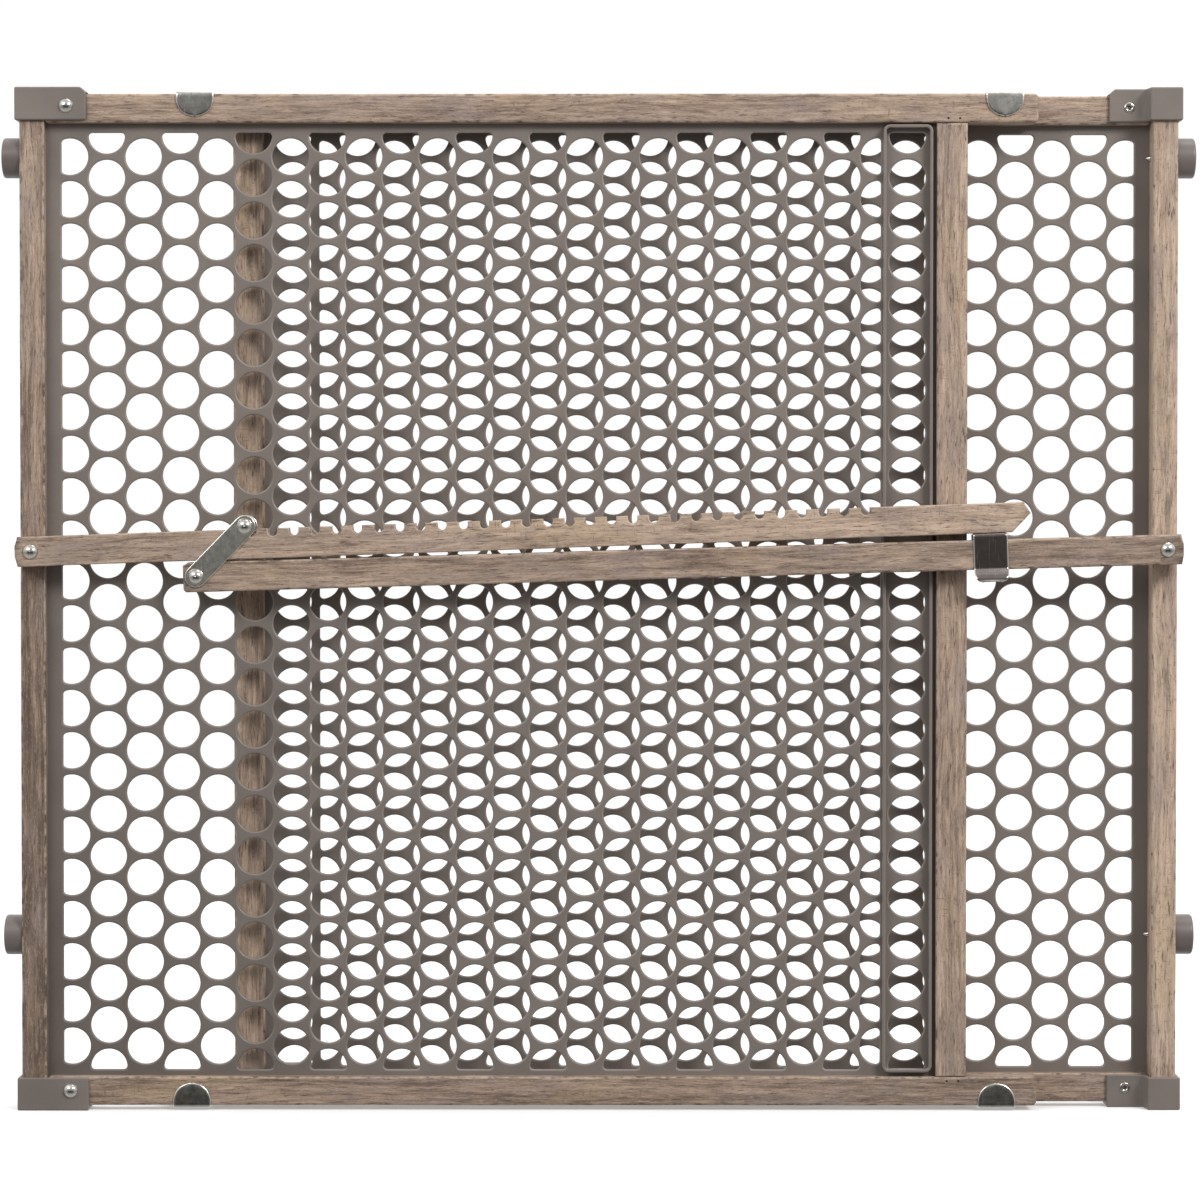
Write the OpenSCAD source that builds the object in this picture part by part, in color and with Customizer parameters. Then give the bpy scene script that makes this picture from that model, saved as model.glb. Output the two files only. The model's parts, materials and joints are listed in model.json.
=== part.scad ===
// Pressure-mounted wooden safety gate: two sliding panels, a notched bar and a locking bar.
// Frame: +X to the right seen from the front, +Y to the back, +Z up.
// The origin is on the floor, midway along the gate and midway between its front-most and
// rear-most points.

/* [Overall] */
// Height from the floor to the top of the corner caps
gate_h = 612; // [600:1:625]
// Distance between the end faces of the bumpers, gate closed up
gate_w = 714; // [700:1:740]

/* [Wooden frame] */
// Height of a rail
rail_h = 17.3; // [15:0.1:20]
// Thickness of a rail and of an inner stile
rail_t = 15.5; // [14:0.1:17]
// Gap between the front rails and the rear rails
rail_gap = 1; // [0.8:0.1:2]
// Height of the bottom rails above the floor
rail_lift = 3; // [2.5:0.1:4]
// Distance from the middle of the gate to the free end of a rail
rail_end = 262; // [255:1:265]
// Width of an outer stile
stile_w = 15; // [13:0.1:18]
// Depth of an outer stile, front to back
stile_t = 27; // [24:0.1:30]
// Width of an inner stile
inner_w = 18.3; // [16:0.1:20]
// Distance from the middle of the gate to the middle of an inner stile
inner_x = 210.7; // [205:0.1:215]
// Depth of the groove that holds the mesh
groove_d = 5; // [3:0.1:6]

/* [Plastic mesh] */
// Thickness of the mesh sheet
mesh_t = 2.8; // [2:0.1:4]
// Radius of a mesh hole
hole_r = 10.87; // [9:0.01:11]
// Vertical distance between two holes of one column
hole_pitch = 25.4; // [25:0.1:25.4]
// Distance from the middle of the gate to the first column of holes
first_column = 316.5; // [316:0.1:318]
// Height of the wall of the raised channel above the sheet
rib_rise = 5.9; // [3:0.1:6]
// Thickness of the wall of the raised channel
rib_wall = 1.8; // [1.2:0.1:2.5]

/* [Corner caps and bumpers] */
// Side wall of a corner cap
cap_wall = 2.5; // [2:0.1:2.5]
// Length of a corner cap along the rail
cap_l = 42.8; // [40:0.1:46]
// Height of a corner cap
cap_h = 19.8; // [18.5:0.1:20]
// Radius of a bumper
bumper_r = 12; // [10:0.1:13]
// How far a bumper stands out of its stile
bumper_l = 11; // [9:0.1:12]
// Heights of the two bumpers of a panel
bumper_z = [104.2, 570.8];

/* [Bars] */
// Height of a bar
bar_h = 17.8; // [17:0.1:17.8]
// Thickness of a bar
bar_t = 12; // [11:0.1:12]
// Distance between the bars and the front rails
bar_gap = 1.5; // [1.5:0.1:2]
// Distance from the middle of the gate to each bar pivot
pivot_x = 338; // [336:0.1:339]
// Height of the pivot of the notched bar
notched_pivot_z = 335.1; // [334:0.1:336]
// Height of the pivot of the locking bar
locking_pivot_z = 336.3; // [335:0.1:337]
// Upward tilt of the notched bar
notched_tilt = 2; // [1.9:0.01:2.1]
// Upward tilt of the locking bar
locking_tilt = 1.63; // [1.6:0.01:1.7]
// Distance between two notches
notch_pitch = 12.6; // [12:0.1:13]
// Number of notches
notch_count = 30; // [12:1:30]
// Depth of a notch
notch_d = 4.6; // [4:0.1:5]
// Radius of the round bottom of a notch
notch_r = 2.8; // [2.5:0.1:3]

/* [Link] */
// Distance between the rivet and the pin of the link
link_l = 41.8; // [40:0.1:43]
// Width of a link plate
link_w = 13; // [11:0.1:14]
// Slope of the link, just lifted clear of the teeth
link_slope = 45.8; // [45:0.1:60]
// Radius of the pin that drops into a notch
link_pin_r = 1.4; // [1.2:0.1:1.4]

/* [Hidden] */
$fn = 48;

// Small lengths shared by several pieces
skin = 0.3;              // gap kept between a guide and the rails
play = 0.05;             // radial clearance of a rivet that something turns on
over = 1;                // how far a cutting shape runs past what it cuts
wood = "#9d8a7c";
plastic = "#6f6763";
metal = "#c9c8c4";

// Heights
bottom_z = rail_lift;
top_z = gate_h - 4 - rail_h;
window_low = bottom_z + rail_h;
window_mid = gate_h / 2 - 1.5;

// Depths, measured from the front face of the front rails
gate_t = 2 * rail_t + rail_gap;
mesh_y = (rail_t - mesh_t) / 2 + 0.2;
bar_back = -bar_gap;
bar_front = bar_back - bar_t;
clip_side_gap = 0.4;
clip_t = 0.8;
clip_lip = 8.8;
clip_flare = 30;
front_most = bar_front - clip_side_gap - clip_t * cos(clip_flare) - clip_lip * sin(clip_flare);
cap_rivet_h = 2.6;
rear_most = gate_t + cap_wall + cap_rivet_h;
mid_y = (front_most + rear_most) / 2;

// Distances from the middle of the gate
stile_out = gate_w / 2 - bumper_l;
stile_in = stile_out - stile_w;
column_pitch = hole_pitch * cos(30);
columns = 23;
guide_x = 241;
guide_w = 21.9;
guide_drop = 14.7;
guide_t = 1;

// Places on a bar are measured along it from its pivot
notched_end = 9.5;
notched_tip = 594.8;
notched_shoulder = 583.5;
first_notch = 131.75;
clip_at = 570.4;
clip_w = 20;
locking_end = 9.5;
locking_l = 585.5;
link_at = 577.8;
link_off = 0.4;
rivet_r = 2.5;
head_r = 4.7;
head_h = 2.8;

// ---------------------------------------------------------------- helpers

// Front panel coordinates, with y = 0 at the front face of the front rails
module front() { translate([0, -mid_y, 0]) children(); }

// The rear panel is the front panel turned half a turn about a vertical axis between the two
module rear() { translate([0, gate_t - mid_y, 0]) rotate([0, 0, 180]) children(); }

// Cylinder along +Y, starting at y0
module rod(r, y0, y1) { translate([0, y0, 0]) rotate([-90, 0, 0]) cylinder(r = r, h = y1 - y0); }

// Box from its low corner to its high corner
module box(low, high) { translate(low) cube(high - low); }

// Bar coordinates: x along the bar from its pivot, z across it, at rest
module on_notched_bar() {
    front() translate([-pivot_x, 0, notched_pivot_z]) rotate([0, -notched_tilt, 0]) children();
}
module on_locking_bar() {
    front() translate([pivot_x, 0, locking_pivot_z]) rotate([0, -locking_tilt, 0]) children();
}

// Link coordinates: x from the rivet towards the pin
module on_link() {
    on_locking_bar() translate([-link_at, 0, link_off])
        rotate([0, locking_tilt - link_slope, 0]) children();
}

// Domed rivet head whose flat side is at y = 0, standing out towards -Y
module dome(r, h) {
    ball_r = (r * r + h * h) / (2 * h);
    rotate([90, 0, 0]) intersection() {
        translate([0, 0, h - ball_r]) sphere(r = ball_r);
        cylinder(r = r, h = h);
    }
}

// ---------------------------------------------------------------- wooden frame

// A rail, with a groove for the mesh on the side that faces the window (side is 1 or -1)
module rail(low, side, rear) {
    groove_z = side > 0 ? low + rail_h - groove_d : low - over;
    difference() {
        box([-stile_in, 0, low], [rail_end, rail_t, low + rail_h]);
        box([-stile_in - over, mesh_y, groove_z],
            [inner_x + inner_w / 2, mesh_y + mesh_t, groove_z + groove_d + over]);
        cap_rivet_place() rod(rivet_shank_r, -over, rail_t + over);
        for (x = frame_nail_x) translate([x, 0, frame_nail_z(low)]) rod(nail_r, -over, frame_nail_l);
        translate([guide_at(low, rear), rail_t / 2, low + (side > 0 ? -over : rail_h - guide_nail_l)])
            cylinder(r = nail_r, h = guide_nail_l + over);
    }
}

module outer_stile(pivot_z, pivot_hole_r) {
    difference() {
        box([-stile_out, 0, rail_lift], [-stile_in, stile_t, gate_h - 4]);
        box([-stile_in - groove_d, mesh_y, window_low - groove_d],
            [-stile_in + over, mesh_y + mesh_t, top_z + groove_d]);
        translate([-pivot_x, 0, pivot_z]) rod(pivot_hole_r, -over, stile_t + over);
        for (z = bumper_z) translate([-stile_out - over, stile_t / 2, z])
            rotate([0, 90, 0]) cylinder(r = screw_r, h = stile_w + 2 * over);
    }
}

module inner_stile() {
    tongue = groove_d - 0.2;
    difference() {
        union() {
            box([inner_x - inner_w / 2, 0, window_low], [inner_x + inner_w / 2, rail_t, top_z]);
            box([inner_x - inner_w / 2, mesh_y, window_low - tongue],
                [inner_x + inner_w / 2, mesh_y + mesh_t, top_z + tongue]);
        }
        box([inner_x - inner_w / 2 - over, mesh_y, window_low - groove_d - over],
            [inner_x - inner_w / 2 + groove_d, mesh_y + mesh_t, top_z + groove_d + over]);
        for (low = [bottom_z, top_z], x = frame_nail_x)
            translate([x, 0, frame_nail_z(low)]) rod(nail_r, -over, frame_nail_l);
    }
}

// ---------------------------------------------------------------- mesh

// A hole with one side cut flat, "flat" beyond its centre on the +Y side, its corners trimmed
module cut_hole(flat) {
    corner = sqrt(hole_r * hole_r - flat * flat);
    trim = 1.6;
    intersection() {
        circle(r = hole_r);
        polygon([
            [-corner + trim, flat], [corner - trim, flat],
            [corner + 0.1, flat - trim], [2 * hole_r, flat - trim],
            [2 * hole_r, -2 * hole_r], [-2 * hole_r, -2 * hole_r],
            [-2 * hole_r, flat - trim], [-corner - 0.1, flat - trim]
        ]);
    }
}

// A column with holes at half pitches: 22 whole holes, cut flat towards "side" if side is not 0
module half_pitch_column(side, flat) {
    for (row = [-10.5 : 10.5]) translate([0, row * hole_pitch])
        if (side == 0) circle(r = hole_r);
        else rotate(-90 * side) cut_hole(flat);
}

// A column with holes at whole pitches: 21 whole holes and a cut one at each end
module whole_pitch_column() {
    for (row = [-10 : 10]) translate([0, row * hole_pitch]) circle(r = hole_r);
    for (end = [-1, 1]) translate([0, 11 * end * hole_pitch])
        rotate(end > 0 ? 0 : 180) cut_hole(1.4);
}

// Raised channel round the last column, seen as a long rectangle
channel_low = [169.7, window_low + 2.5];
channel_high = [199.3, top_z - 1];
module channel_outline(inset) {
    round_r = 4 - inset;
    low = channel_low + [inset, inset];
    high = channel_high - [inset, inset];
    hull() for (x = [low.x + round_r, high.x - round_r], y = [low.y + round_r, high.y - round_r])
        translate([x, y]) circle(r = round_r, $fn = 24);
}

module mesh() {
    tongue = groove_d - 0.3;
    stile_tongue = groove_d - 0.8;
    translate([0, mesh_y + mesh_t, 0]) rotate([90, 0, 0]) linear_extrude(mesh_t) difference() {
        translate([-stile_in - stile_tongue, window_low - tongue]) square([
            stile_in + stile_tongue + inner_x - inner_w / 2 + tongue,
            top_z - window_low + 2 * tongue
        ]);
        for (k = [0 : columns - 1]) translate([-first_column + k * column_pitch, window_mid])
            if (k == 0) half_pitch_column(-1, 5.1);
            else if (k == columns - 1) half_pitch_column(1, 1.1);
            else if (k % 2 == 0) half_pitch_column(0, 0);
            else whole_pitch_column();
        translate([(channel_low.x + channel_high.x) / 2, window_mid]) whole_pitch_column();
    }
    translate([0, mesh_y, 0]) rotate([90, 0, 0]) linear_extrude(rib_rise) difference() {
        channel_outline(0);
        channel_outline(rib_wall);
    }
}

// ---------------------------------------------------------------- caps, rivets and nails

rivet_shank_r = 2;
nail_r = 0.7;
frame_nail_x = [inner_x - 2.5, inner_x + 4.5];
frame_nail_l = 12;
guide_nail_l = 12;
screw_r = 2;
cap_top_z = gate_h - cap_h;

function frame_nail_z(low) = low < gate_h / 2 ? window_low - 2.5 : top_z + 2.5;
// The guides sit by hand, each a little off the others
function guide_at(low, rear) =
    low > gate_h / 2 ? (rear ? guide_x : guide_x + 1) : (rear ? guide_x + 3 : guide_x - 3);
function cap_rivet_x(top) = top ? 317.7 : 316.6;
function cap_rivet_z(top) = top ? top_z + rail_h - 7.2 : bottom_z + rail_h - 8.3;

module cap_rivet_place() {
    for (top = [false, true]) translate([-cap_rivet_x(top), 0, cap_rivet_z(top)]) children();
}

// Sleeve over the end of the rail and of the outer stile; its thin end tapers to the block
module cap(top) {
    x_out = -stile_out - cap_wall;
    x_in = x_out + cap_l;
    low = top ? cap_top_z : 0;
    bevel = 3.4;
    difference() {
        translate([0, 0, low]) linear_extrude(cap_h) polygon([
            [x_out, -cap_wall], [x_in, -cap_wall], [x_in, rail_t + cap_wall],
            [-stile_in + 3.8, rail_t + cap_wall], [-stile_in + 2, stile_t + cap_wall],
            [x_out, stile_t + cap_wall]
        ]);
        box([-stile_out, 0, rail_lift], [-stile_in, stile_t, gate_h - 4]);
        for (z = [bottom_z, top_z])
            box([-stile_in - over, 0, z], [x_in + over, rail_t, z + rail_h]);
        box([-stile_in - over, 0, window_low - over], [x_in + over, rail_t, top_z + over]);
        if (top) translate([x_in - bevel, -cap_wall - over, gate_h])
            rotate([0, 42, 0]) cube([2 * bevel, rail_t + 2 * cap_wall + 2 * over, 2 * bevel]);
        cap_rivet_place() rod(rivet_shank_r, -cap_wall - over, rail_t + cap_wall + over);
    }
}

// Tubular rivet: domed head in front, rolled end with an open mouth at the back
module cap_rivets() {
    back = rail_t + cap_wall;
    cap_rivet_place() difference() {
        union() {
            rod(rivet_shank_r, -cap_wall, back + 0.8);
            translate([0, -cap_wall, 0]) dome(4.5, cap_rivet_h);
            rod(3.2, back, back + 0.8);
        }
        rod(1.3, back - 3, back + over);
    }
}

module frame_nails() {
    for (low = [bottom_z, top_z], x = frame_nail_x)
        translate([x, 0, frame_nail_z(low)]) rod(nail_r, -0.05, frame_nail_l);
}

// ---------------------------------------------------------------- guides

// Half-round tab with straight sides at its root, in x and z, hanging below z = 0
module tab_outline() {
    straight = guide_drop - guide_w / 2;
    translate([-guide_w / 2, -straight]) square([guide_w, straight]);
    translate([0, -straight]) intersection() {
        circle(r = guide_w / 2);
        translate([-guide_w / 2, -guide_w]) square([guide_w, guide_w]);
    }
}

// Bent plate over both rails, drawn for the top: its root is at z = 0 on the rails' tops
module guide_plate() {
    for (y = [-skin - guide_t, gate_t + skin]) translate([0, y + guide_t, skin + guide_t])
        rotate([90, 0, 0]) linear_extrude(guide_t) tab_outline();
    difference() {
        box([-guide_w / 2, -skin - over / 2, skin],
            [guide_w / 2, gate_t + skin + over / 2, skin + guide_t]);
        translate([0, rail_t / 2, 0]) cylinder(r = nail_r, h = 5);
    }
}

module guide(top, rear) {
    if (top) translate([guide_at(gate_h, rear), 0, top_z + rail_h]) guide_plate();
    else translate([guide_at(0, rear), 0, bottom_z]) mirror([0, 0, 1]) guide_plate();
}

// Nail with a low domed head, point towards -Z, head resting on z = 0
module guide_nail() {
    translate([0, 0, skin + guide_t - guide_nail_l]) cylinder(r = nail_r, h = guide_nail_l);
    translate([0, 0, skin + guide_t]) rotate([-90, 0, 0]) dome(2.2, 0.9);
}

module guide_nails(rear) {
    translate([guide_at(gate_h, rear), rail_t / 2, top_z + rail_h]) guide_nail();
    translate([guide_at(0, rear), rail_t / 2, bottom_z]) mirror([0, 0, 1]) guide_nail();
}

// ---------------------------------------------------------------- bumpers

bumper_edge = 1.5;
recess_r = 4.6;
recess_d = 4;

// Round bumper with a rounded rim and a recess for its screw, on the outer side of the stile
module bumper(z) {
    translate([-stile_out, stile_t / 2, z]) rotate([0, -90, 0]) rotate_extrude() difference() {
        union() {
            square([bumper_r, bumper_l - bumper_edge]);
            square([bumper_r - bumper_edge, bumper_l]);
            translate([bumper_r - bumper_edge, bumper_l - bumper_edge]) circle(r = bumper_edge);
        }
        translate([0, -over]) square([screw_r, bumper_l + 2 * over]);
        translate([0, bumper_l - recess_d]) square([recess_r, bumper_l]);
        translate([-2 * bumper_r, -over]) square([2 * bumper_r, 2 * bumper_l]);
    }
}

// Pan-head screw through the bumper and the stile, its point just through the stile
module bumper_screw() {
    point = 3;
    rotate([0, 90, 0]) {
        translate([0, 0, recess_d - bumper_l]) cylinder(r = screw_r, h = bumper_l - recess_d + stile_w);
        translate([0, 0, stile_w]) cylinder(r1 = screw_r, r2 = 0.4, h = point);
        translate([0, 0, recess_d - bumper_l]) difference() {
            rotate([90, 0, 0]) dome(3.9, 2.4);
            translate([0, 0, -2.4]) for (a = [0, 90]) rotate([0, 0, a])
                translate([-2, -0.4, -1]) cube([4, 0.8, 2.2]);
        }
    }
}

module bumper_screws() {
    for (z = bumper_z) translate([-stile_out, stile_t / 2, z]) bumper_screw();
}

// ---------------------------------------------------------------- bars

// Rounds over the front edge of a bar's pivot end; dir points along the bar, away from that end
module end_round_over(dir) {
    cone_r = 18;
    cone_d = 3;
    difference() {
        translate([-dir * 2 * bar_h, 0, 0]) rod(3 * bar_h, bar_front - over, bar_front + cone_d);
        translate([dir * (cone_r - 9), bar_front, 0]) rotate([-90, 0, 0])
            cylinder(r1 = cone_r, r2 = cone_r + cone_d, h = cone_d + over);
        translate([dir * (cone_r - 9), 0, 0]) rod(cone_r, bar_front - 2 * over, bar_front);
        translate([dir > 0 ? 0 : -8 * bar_h, bar_front - 2 * over, -4 * bar_h])
            cube([8 * bar_h, cone_d + 4 * over, 8 * bar_h]);
    }
}

// Extrudes a bar's outline, drawn in x and z, over the bar's thickness
module bar_solid() {
    translate([0, bar_back, 0]) rotate([90, 0, 0]) linear_extrude(bar_t) children();
}

module notched_bar() {
    half = bar_h / 2;
    color(wood) on_notched_bar() difference() {
        bar_solid() polygon([
            [-notched_end, -half], [notched_shoulder, -half], [notched_tip, 2.2],
            [notched_tip - 4, half], [-notched_end, half]
        ]);
        rod(rivet_r + play, bar_front - over, over);
        for (i = [0 : notch_count - 1])
            translate([first_notch + i * notch_pitch, 0, half - notch_d + notch_r]) {
                rod(notch_r, bar_front - over, over);
                box([-notch_r + 0.1, bar_front - over, 0], [notch_r - 0.1, over, notch_d]);
            }
        for (x = clip_nail_x) translate([x, bar_back - bar_t / 2, -half - over])
            cylinder(r = nail_r, h = clip_nail_l + over);
        end_round_over(1);
    }
}

module locking_bar() {
    half = bar_h / 2;
    corner = 3.5;
    color(wood) on_locking_bar() difference() {
        bar_solid() polygon([
            [-locking_l, -half + 1.5], [-locking_l + 1.5, -half], [locking_end, -half],
            [locking_end, half], [-locking_l + corner, half], [-locking_l, half - 2]
        ]);
        rod(rivet_r + play, bar_front - over, over);
        translate([-link_at, 0, link_off]) rod(rivet_r + play, bar_front - over, over);
        end_round_over(-1);
    }
}

// Rivet with a domed head in front and a low rolled head at the back
module pivot_rivet(y0, y1) {
    rod(rivet_r, y0, y1);
    translate([0, y0, 0]) dome(head_r, head_h);
    rod(4, y1, y1 + 1.2);
}

module washer(y0, y1) {
    difference() {
        rod(6, y0, y1);
        rod(rivet_r + play, y0 - over, y1 + over);
    }
}

module notched_bar_rivet() {
    color(metal) on_notched_bar() pivot_rivet(bar_front - 0.2, stile_t);
}
module notched_bar_washer() {
    color(metal) on_notched_bar() washer(bar_back + 0.2, 0);
}

// The rear outer stile's front face lies this far behind the front of the front rails
rear_stile_front = gate_t - stile_t;
module locking_bar_rivet() {
    color(metal) on_locking_bar() pivot_rivet(bar_front - 0.2, gate_t + 0.2);
}
module locking_bar_spacer() {
    color(metal) on_locking_bar() washer(bar_back + 0.2, rear_stile_front);
}

// ---------------------------------------------------------------- clip

clip_nail_x = [clip_at - 5, clip_at + 5];
clip_nail_l = 9;
clip_leg = 21.2;

// Inverted U nailed under the notched bar; its legs reach down over the locking bar
module bar_clip() {
    y_front = bar_front - clip_side_gap - clip_t;
    y_back = bar_back + skin;
    top = -bar_h / 2;
    color(metal) on_notched_bar() translate([clip_at, 0, top]) {
        difference() {
            box([-clip_w / 2, y_front, -clip_t], [clip_w / 2, y_back + clip_t, 0]);
            for (x = clip_nail_x) translate([x - clip_at, bar_back - bar_t / 2, -clip_t - over])
                cylinder(r = nail_r, h = 2 * over + clip_t);
        }
        box([-clip_w / 2, y_front, -clip_leg], [clip_w / 2, y_front + clip_t, -clip_t]);
        box([-clip_w / 2, y_back, -clip_leg], [clip_w / 2, y_back + clip_t, -clip_t]);
        clip_lip(y_front);
    }
}

// Flared lip with rounded corners at the foot of the front leg
module clip_lip(y_front) {
    round_r = 4.5;
    translate([0, y_front + clip_t, -clip_leg]) rotate([-clip_flare, 0, 0]) rotate([90, 0, 0])
        linear_extrude(clip_t) difference() {
            translate([-clip_w / 2, -clip_lip]) square([clip_w, clip_lip]);
            for (s = [-1, 1]) translate([s * (clip_w / 2 - round_r), round_r - clip_lip])
                difference() {
                    translate([s > 0 ? 0 : -round_r - over, -round_r - over])
                        square([round_r + over, round_r + over]);
                    circle(r = round_r);
                }
        }
}

module bar_clip_nails() {
    color(metal) on_notched_bar() for (x = clip_nail_x)
        translate([x, bar_back - bar_t / 2, -bar_h / 2 - clip_t]) {
            cylinder(r = nail_r, h = clip_nail_l + clip_t);
            mirror([0, 0, 1]) cylinder(r = 1.8, h = 0.6);
        }
}

// ---------------------------------------------------------------- link

link_t = 1;
link_play = 0.2;
link_front = bar_front - link_play - link_t;
link_back = bar_back + link_play;

// Flat plate with round ends, from the rivet to the pin
module link_plate(y0) {
    difference() {
        translate([0, y0 + link_t, 0]) rotate([90, 0, 0]) linear_extrude(link_t) {
            circle(r = link_w / 2);
            translate([link_l, 0]) circle(r = link_w / 2);
            translate([0, -link_w / 2]) square([link_l, link_w]);
        }
        rod(rivet_r + play, y0 - over, y0 + link_t + over);
        translate([link_l, 0, 0]) rod(link_pin_r, y0 - over, y0 + link_t + over);
    }
}
module link_front_plate() { color(metal) on_link() link_plate(link_front); }
module link_rear_plate() { color(metal) on_link() link_plate(link_back); }
module link_pin() {
    color(metal) on_link() translate([link_l, 0, 0]) {
        rod(link_pin_r, link_front, link_back + link_t);
        translate([0, link_front, 0]) dome(head_r, head_h);
        rod(2.6, link_back + link_t, link_back + link_t + 0.8);
    }
}
module link_rivet() {
    color(metal) on_link() {
        rod(rivet_r, link_front - 0.1, link_back + link_t + 0.1);
        translate([0, link_front - 0.1, 0]) dome(head_r, head_h);
        rod(3.6, link_back + link_t + 0.1, link_back + link_t + 0.9);
    }
}

// ---------------------------------------------------------------- nodes of the two panels

module front_top_rail() { color(wood) front() rail(top_z, -1, false); }
module front_bottom_rail() { color(wood) front() rail(bottom_z, 1, false); }
module front_outer_stile() { color(wood) front() outer_stile(notched_pivot_z, rivet_r); }
module front_inner_stile() { color(wood) front() inner_stile(); }
module front_mesh() { color(plastic) front() mesh(); }
module front_top_cap() { color(plastic) front() cap(true); }
module front_bottom_cap() { color(plastic) front() cap(false); }
module front_cap_rivets() { color(metal) front() cap_rivets(); }
module front_top_guide() { color(metal) front() guide(true, false); }
module front_bottom_guide() { color(metal) front() guide(false, false); }
module front_guide_nails() { color(metal) front() guide_nails(false); }
module front_top_bumper() { color(plastic) front() bumper(bumper_z[1]); }
module front_bottom_bumper() { color(plastic) front() bumper(bumper_z[0]); }
module front_bumper_screws() { color(metal) front() bumper_screws(); }
module front_frame_nails() { color(metal) front() frame_nails(); }

module rear_top_rail() { color(wood) rear() rail(top_z, -1, true); }
module rear_bottom_rail() { color(wood) rear() rail(bottom_z, 1, true); }
module rear_outer_stile() { color(wood) rear() outer_stile(locking_pivot_z, rivet_r + play); }
module rear_inner_stile() { color(wood) rear() inner_stile(); }
module rear_mesh() { color(plastic) rear() mesh(); }
module rear_top_cap() { color(plastic) rear() cap(true); }
module rear_bottom_cap() { color(plastic) rear() cap(false); }
module rear_cap_rivets() { color(metal) rear() cap_rivets(); }
module rear_top_guide() { color(metal) rear() guide(true, true); }
module rear_bottom_guide() { color(metal) rear() guide(false, true); }
module rear_guide_nails() { color(metal) rear() guide_nails(true); }
module rear_top_bumper() { color(plastic) rear() bumper(bumper_z[1]); }
module rear_bottom_bumper() { color(plastic) rear() bumper(bumper_z[0]); }
module rear_bumper_screws() { color(metal) rear() bumper_screws(); }
module rear_frame_nails() { color(metal) rear() frame_nails(); }

front_top_rail();
front_bottom_rail();
front_outer_stile();
front_inner_stile();
front_mesh();
front_top_cap();
front_bottom_cap();
front_cap_rivets();
front_top_guide();
front_bottom_guide();
front_guide_nails();
front_top_bumper();
front_bottom_bumper();
front_bumper_screws();
front_frame_nails();
rear_top_rail();
rear_bottom_rail();
rear_outer_stile();
rear_inner_stile();
rear_mesh();
rear_top_cap();
rear_bottom_cap();
rear_cap_rivets();
rear_top_guide();
rear_bottom_guide();
rear_guide_nails();
rear_top_bumper();
rear_bottom_bumper();
rear_bumper_screws();
rear_frame_nails();
notched_bar();
notched_bar_rivet();
notched_bar_washer();
bar_clip();
bar_clip_nails();
locking_bar();
locking_bar_rivet();
locking_bar_spacer();
link_front_plate();
link_rear_plate();
link_pin();
link_rivet();
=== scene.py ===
"""Looks of the wooden safety gate: worn stained wood, moulded mesh, bent plate and a pale studio."""
import json
import math

import bmesh
import bpy
from mathutils import Matrix, Vector, noise
from mathutils.geometry import delaunay_2d_cdt


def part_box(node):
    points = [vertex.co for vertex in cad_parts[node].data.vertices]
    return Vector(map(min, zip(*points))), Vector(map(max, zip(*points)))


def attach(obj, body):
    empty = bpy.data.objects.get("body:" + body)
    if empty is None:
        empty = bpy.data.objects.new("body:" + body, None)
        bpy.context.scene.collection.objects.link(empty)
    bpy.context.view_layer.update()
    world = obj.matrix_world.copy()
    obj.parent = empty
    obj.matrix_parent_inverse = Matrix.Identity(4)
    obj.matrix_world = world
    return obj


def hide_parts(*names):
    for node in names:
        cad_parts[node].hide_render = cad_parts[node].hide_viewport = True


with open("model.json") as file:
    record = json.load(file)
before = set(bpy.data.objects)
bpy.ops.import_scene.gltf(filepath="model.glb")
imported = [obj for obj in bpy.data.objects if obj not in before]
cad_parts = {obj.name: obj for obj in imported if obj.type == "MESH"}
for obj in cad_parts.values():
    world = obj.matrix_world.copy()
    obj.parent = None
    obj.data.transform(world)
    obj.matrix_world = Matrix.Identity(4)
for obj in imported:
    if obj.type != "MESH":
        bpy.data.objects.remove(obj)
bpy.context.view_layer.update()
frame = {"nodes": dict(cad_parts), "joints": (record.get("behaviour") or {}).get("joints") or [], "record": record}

MM = 0.001
BODY_OF = {n: body for body, names in frame["record"]["behaviour"]["bodies"].items() for n in names}
JOINT = {j["name"]: j for j in frame["joints"]}


# ------------------------------------------------------------------ measures taken from the frame

FRONT_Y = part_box("front_top_rail")[0][1]          # front face of the front rails
TURN_Y = FRONT_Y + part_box("rear_top_rail")[1][1]  # y + y' of a point and its turned twin
RAIL_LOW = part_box("front_bottom_rail")
RAIL_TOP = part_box("front_top_rail")
CAP_LOW_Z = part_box("front_bottom_cap")[1][2]
CAP_TOP_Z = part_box("front_top_cap")[0][2]
BAR_FRONT_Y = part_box("locking_bar")[0][1]
BAR_BACK_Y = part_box("locking_bar")[1][1]

HALF_TURN = Matrix.Translation((0, TURN_Y, 0)) @ Matrix.Rotation(math.pi, 4, "Z")
HERE = Matrix.Identity(4)

# Bars, as the CAD has them: tilt, height and the distances from each pivot along its bar
NOTCHED_TILT = math.radians(2.0)
LOCKING_TILT = math.radians(1.63)
LINK_SLOPE = math.radians(45.8)
LINK_WIDTH, LINK_LENGTH = 13 * MM, 41.8 * MM
LINK_RIVET_HOLE, LINK_PIN_HOLE = 2.6 * MM, 1.45 * MM
BAR_H = 17.8 * MM
NOTCHED_END, NOTCHED_SHOULDER, NOTCHED_TIP = 9.5 * MM, 583.5 * MM, 594.8 * MM
FIRST_NOTCH, NOTCH_PITCH, NOTCH_COUNT = 131.75 * MM, 12.6 * MM, 30
NOTCH_DEPTH, NOTCH_R = 4.6 * MM, 2.8 * MM
LOCKING_END, LOCKING_LENGTH = 9.5 * MM, 585.5 * MM
CLIP_AT, CLIP_WIDTH, CLIP_LEG, CLIP_LIP = 570.4 * MM, 20 * MM, 21.2 * MM, 8.8 * MM

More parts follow.
